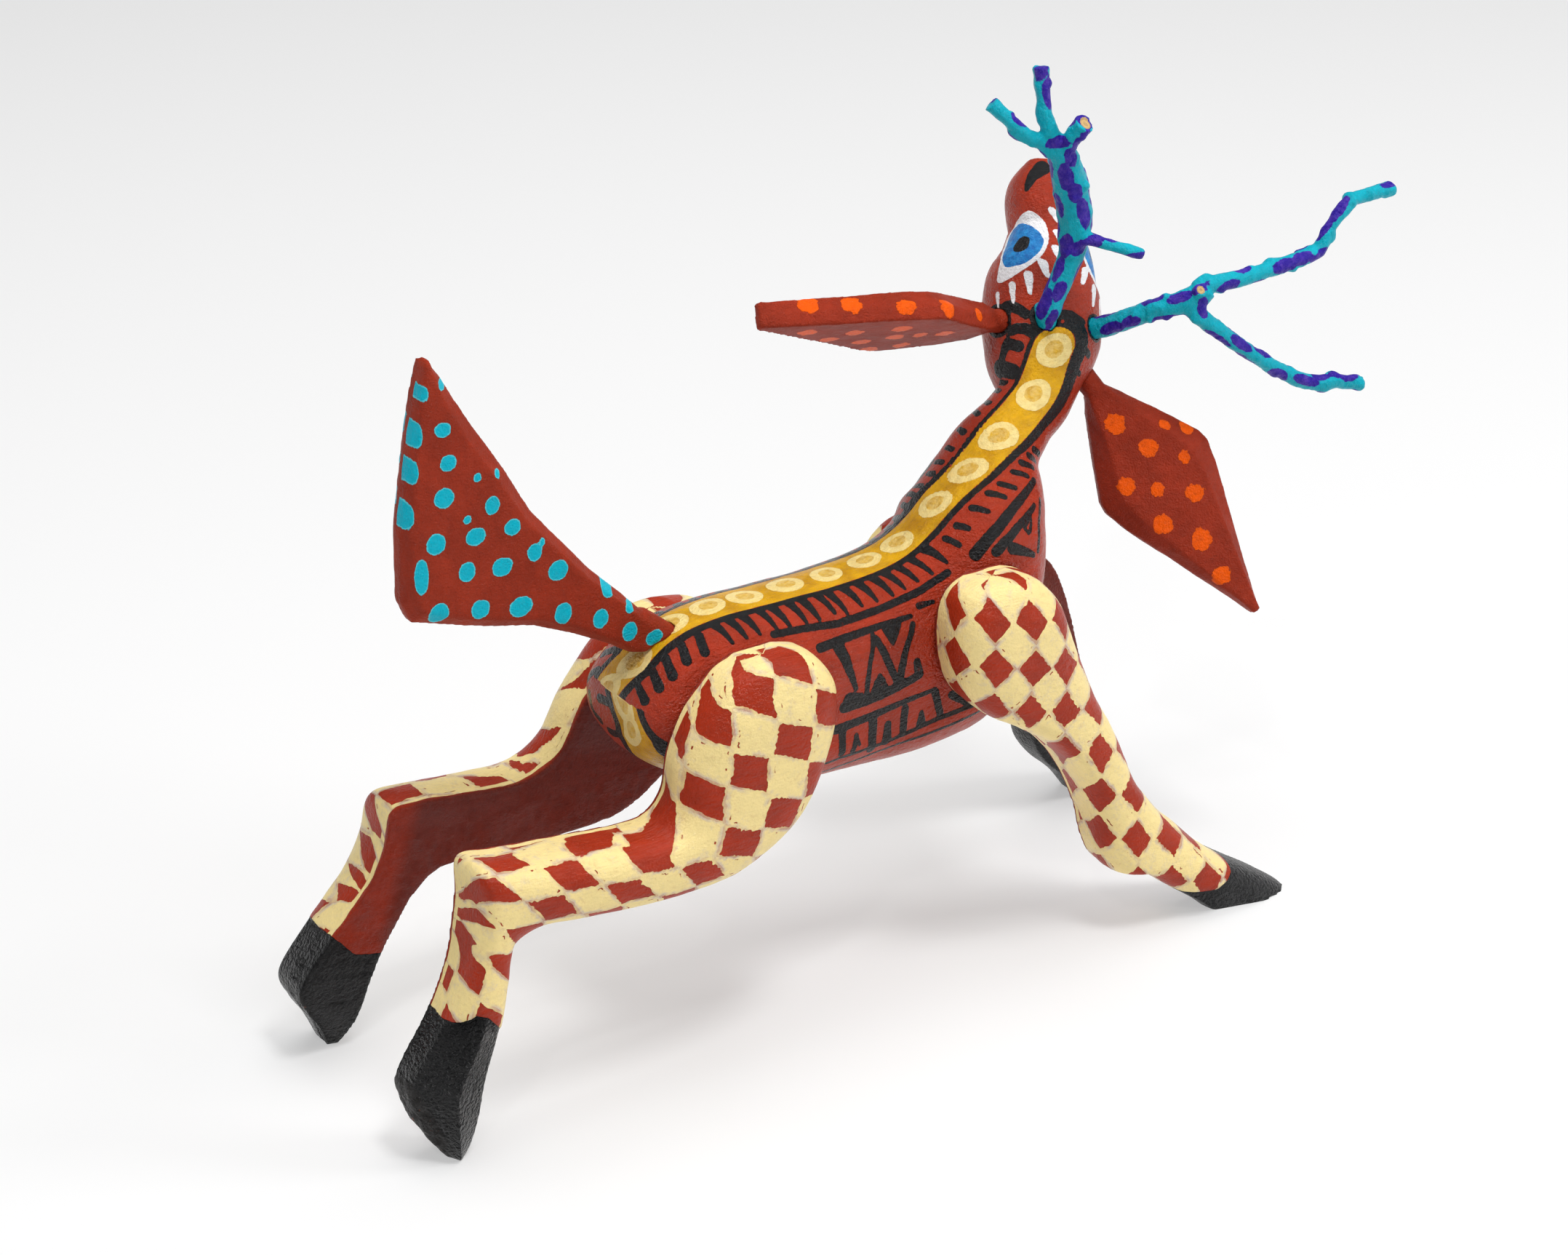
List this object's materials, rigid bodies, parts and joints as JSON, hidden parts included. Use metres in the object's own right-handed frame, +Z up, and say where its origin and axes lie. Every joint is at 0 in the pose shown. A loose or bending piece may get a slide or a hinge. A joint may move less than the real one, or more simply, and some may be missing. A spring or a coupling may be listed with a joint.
{
  "type": "carved wooden deer figure",
  "caption": "Leaping deer carved in wood: trunk with neck and head, pinned-on legs, and push-in ears, twig antlers and tail, painted with checks, dots and a back band.",
  "frame": {"origin": "middle of the whole figure's footprint box, on the surface it stands on", "axes": "+X the way the deer leaps, +Y its left side, +Z up"},
  "size_m": [0.2992, 0.0926, 0.2172],
  "materials": {
    "red_paint": "satin",
    "checked_paint": "satin",
    "ear_paint": "satin",
    "tail_paint": "satin",
    "aqua_twig": "satin",
    "wire": "plain"
  },
  "bodies": {
    "carving": {"trunk": "red_paint", "leg_rear_right": "checked_paint", "leg_rear_left": "checked_paint", "leg_front_right": "checked_paint", "leg_front_left": "checked_paint", "pin_rear_right_a": "wire", "pin_rear_right_b": "wire", "pin_rear_left_a": "wire", "pin_rear_left_b": "wire", "pin_front_right_a": "wire", "pin_front_right_b": "wire", "pin_front_left_a": "wire", "pin_front_left_b": "wire"},
    "ear_left_body": {"ear_left": "ear_paint"},
    "ear_right_body": {"ear_right": "ear_paint"},
    "antler_left_body": {"antler_left": "aqua_twig"},
    "antler_right_body": {"antler_right": "aqua_twig"},
    "tail_body": {"tail": "tail_paint"}
  },
  "joints": [
    {"name": "ear_left_pull", "type": "slide", "parent": "carving", "child": "ear_left_body", "axis": [-0.9776, 0.0403, 0.2066], "range_m": [0, 0.012]},
    {"name": "ear_right_pull", "type": "slide", "parent": "carving", "child": "ear_right_body", "axis": [0.37, -0.5199, -0.7699], "range_m": [0, 0.012]},
    {"name": "antler_left_pull", "type": "slide", "parent": "carving", "child": "antler_left_body", "axis": [-0.3609, -0.4211, 0.8321], "range_m": [0, 0.01]},
    {"name": "antler_right_pull", "type": "slide", "parent": "carving", "child": "antler_right_body", "axis": [0.3413, -0.8834, 0.3212], "range_m": [0, 0.01]},
    {"name": "tail_pull", "type": "slide", "parent": "carving", "child": "tail_body", "axis": [-0.769, 0, 0.6392], "range_m": [0, 0.02]}
  ]
}
